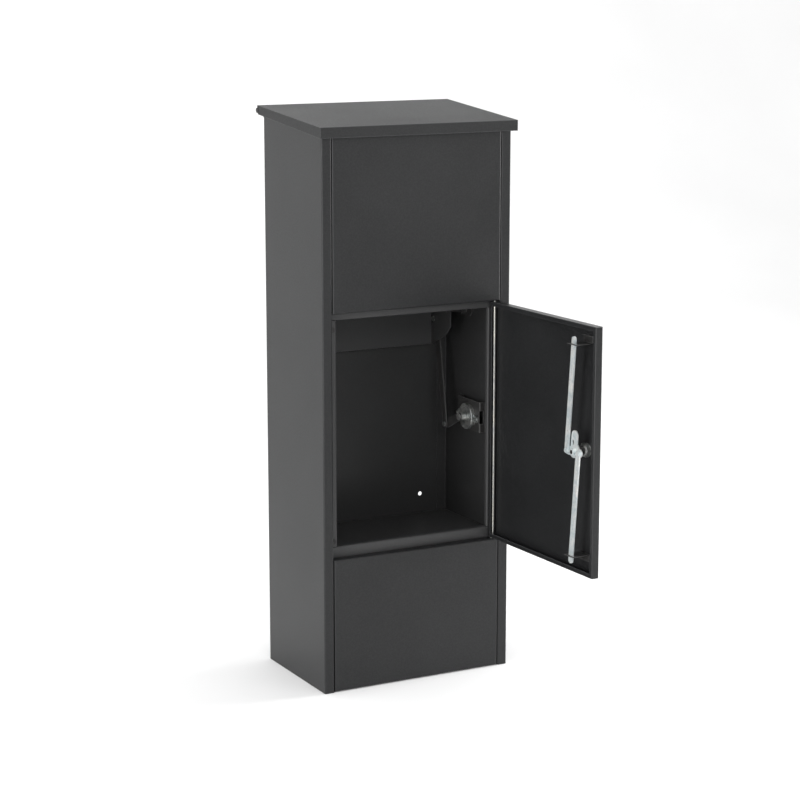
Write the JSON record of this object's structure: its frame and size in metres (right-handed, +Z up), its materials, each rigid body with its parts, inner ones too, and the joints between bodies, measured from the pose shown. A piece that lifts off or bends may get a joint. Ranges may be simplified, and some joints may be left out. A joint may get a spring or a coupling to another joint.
{
  "type": "parcel drop box",
  "caption": "Free-standing black steel parcel drop box with a sloping rear-hinged lid, a drop shaft closed by a damped flap, and a locked front door with shoot bolts.",
  "frame": {"origin": "middle of the cabinet's footprint on the floor", "axes": "+Z up, the front with its door faces -Y, +X is to the right seen from the front"},
  "size_m": [0.4166, 0.6102, 1.0978],
  "materials": {
    "black_powder_coat": "satin black powder coat with a fine orange-peel texture",
    "bright_zinc": "bright zinc plating",
    "black_pin": "black oxide",
    "lock_chrome": "polished nickel-chrome",
    "nylon": "natural nylon",
    "black_rubber": "matt"
  },
  "bodies": {
    "cabinet": {"side_wall_left": "black_powder_coat", "side_wall_right": "black_powder_coat", "back_panel": "black_powder_coat", "base_pan": "black_powder_coat", "upper_front_panel": "black_powder_coat", "lower_front_panel": "black_powder_coat", "stop_stile_left": "black_powder_coat", "stop_stile_right": "black_powder_coat", "stop_rail_top": "black_powder_coat", "stop_rail_bottom": "black_powder_coat", "storage_floor": "black_powder_coat", "drop_chute": "black_powder_coat", "shaft_side_left": "black_powder_coat", "shaft_side_right": "black_powder_coat", "rear_deflector": "black_powder_coat", "hinge_lug_left": "black_powder_coat", "hinge_lug_right": "black_powder_coat", "flap_bearing_left": "bright_zinc", "flap_bearing_right": "bright_zinc", "damper_bracket": "black_powder_coat", "damper_body": "bright_zinc", "damper_screws": "bright_zinc", "door_bumpers": "black_rubber", "lid_bumpers": "black_rubber"},
    "lid_body": {"lid": "black_powder_coat", "lid_hinge_pins": "black_pin", "lid_stiffener": "black_powder_coat", "lid_arm": "black_powder_coat", "link_pin_top": "bright_zinc"},
    "link_body": {"lid_link": "black_powder_coat"},
    "flap_body": {"drop_flap": "black_powder_coat", "flap_pivot_pins": "bright_zinc", "flap_arm": "black_powder_coat", "link_pin_bottom": "bright_zinc", "strap_pin_top": "bright_zinc"},
    "strap_body": {"strap": "black_powder_coat"},
    "crank_body": {"crank_arm": "black_powder_coat", "crank_pin": "bright_zinc", "damper_hub": "bright_zinc"},
    "door_body": {"door_panel": "black_powder_coat", "door_hinge_rod": "bright_zinc", "door_washer": "nylon", "lock_body": "lock_chrome", "lock_washer": "bright_zinc", "lock_nut": "bright_zinc", "rod_guide_top": "black_powder_coat", "rod_guide_bottom": "black_powder_coat"},
    "cam_body": {"lock_plug": "lock_chrome", "cam_plate": "bright_zinc", "cam_nut": "bright_zinc", "rod_pins": "bright_zinc"},
    "upper_rod_body": {"upper_rod": "bright_zinc"},
    "lower_rod_body": {"lower_rod": "bright_zinc"}
  },
  "joints": [
    {"name": "lid_hinge", "type": "hinge", "parent": "cabinet", "child": "lid_body", "pos_m": [0, 0.137, 1.088], "axis": [-1, 0, 0], "range_deg": [0, 70]},
    {"name": "lid_link_pivot", "type": "hinge", "parent": "lid_body", "child": "link_body", "pos_m": [-0.1735, 0.08402, 1.05983], "axis": [-1, 0, 0], "range_deg": [-70, 0]},
    {"name": "flap_pivot", "type": "hinge", "parent": "cabinet", "child": "flap_body", "pos_m": [0, 0.0435, 0.6888], "axis": [-1, 0, 0], "range_deg": [0, 70]},
    {"name": "strap_pivot", "type": "hinge", "parent": "flap_body", "child": "strap_body", "pos_m": [0.159, 0.0925, 0.6653], "axis": [-1, 0, 0], "range_deg": [-70, 0]},
    {"name": "damper_turn", "type": "hinge", "parent": "cabinet", "child": "crank_body", "pos_m": [0.17, 0.004, 0.48], "axis": [-1, 0, 0], "range_deg": [0, 70]},
    {"name": "door_hinge", "type": "hinge", "parent": "cabinet", "child": "door_body", "pos_m": [0.1712, -0.1175, 0.4945], "axis": [0, 0, 1], "range_deg": [-92, 7]},
    {"name": "lock_turn", "type": "hinge", "parent": "door_body", "child": "cam_body", "pos_m": [0.15939, -0.4241, 0.494], "axis": [0.9994, 0.0349, 0], "range_deg": [0, 90]},
    {"name": "upper_rod_pivot", "type": "hinge", "parent": "cam_body", "child": "upper_rod_body", "pos_m": [0.15577, -0.40621, 0.494], "axis": [0.9994, 0.0349, 0], "range_deg": [-95.22, 0]},
    {"name": "lower_rod_pivot", "type": "hinge", "parent": "cam_body", "child": "lower_rod_body", "pos_m": [0.15702, -0.44219, 0.494], "axis": [0.9994, 0.0349, 0], "range_deg": [-95.31, 0]}
  ],
  "couplings": [
    {"joint": "lid_link_pivot", "follows": "lid_hinge", "ratio": -1},
    {"joint": "flap_pivot", "follows": "lid_hinge", "ratio": 1},
    {"joint": "strap_pivot", "follows": "lid_hinge", "ratio": -1},
    {"joint": "damper_turn", "follows": "lid_hinge", "ratio": 1},
    {"joint": "upper_rod_pivot", "follows": "lock_turn", "ratio": -1.0579},
    {"joint": "lower_rod_pivot", "follows": "lock_turn", "ratio": -1.0589}
  ]
}
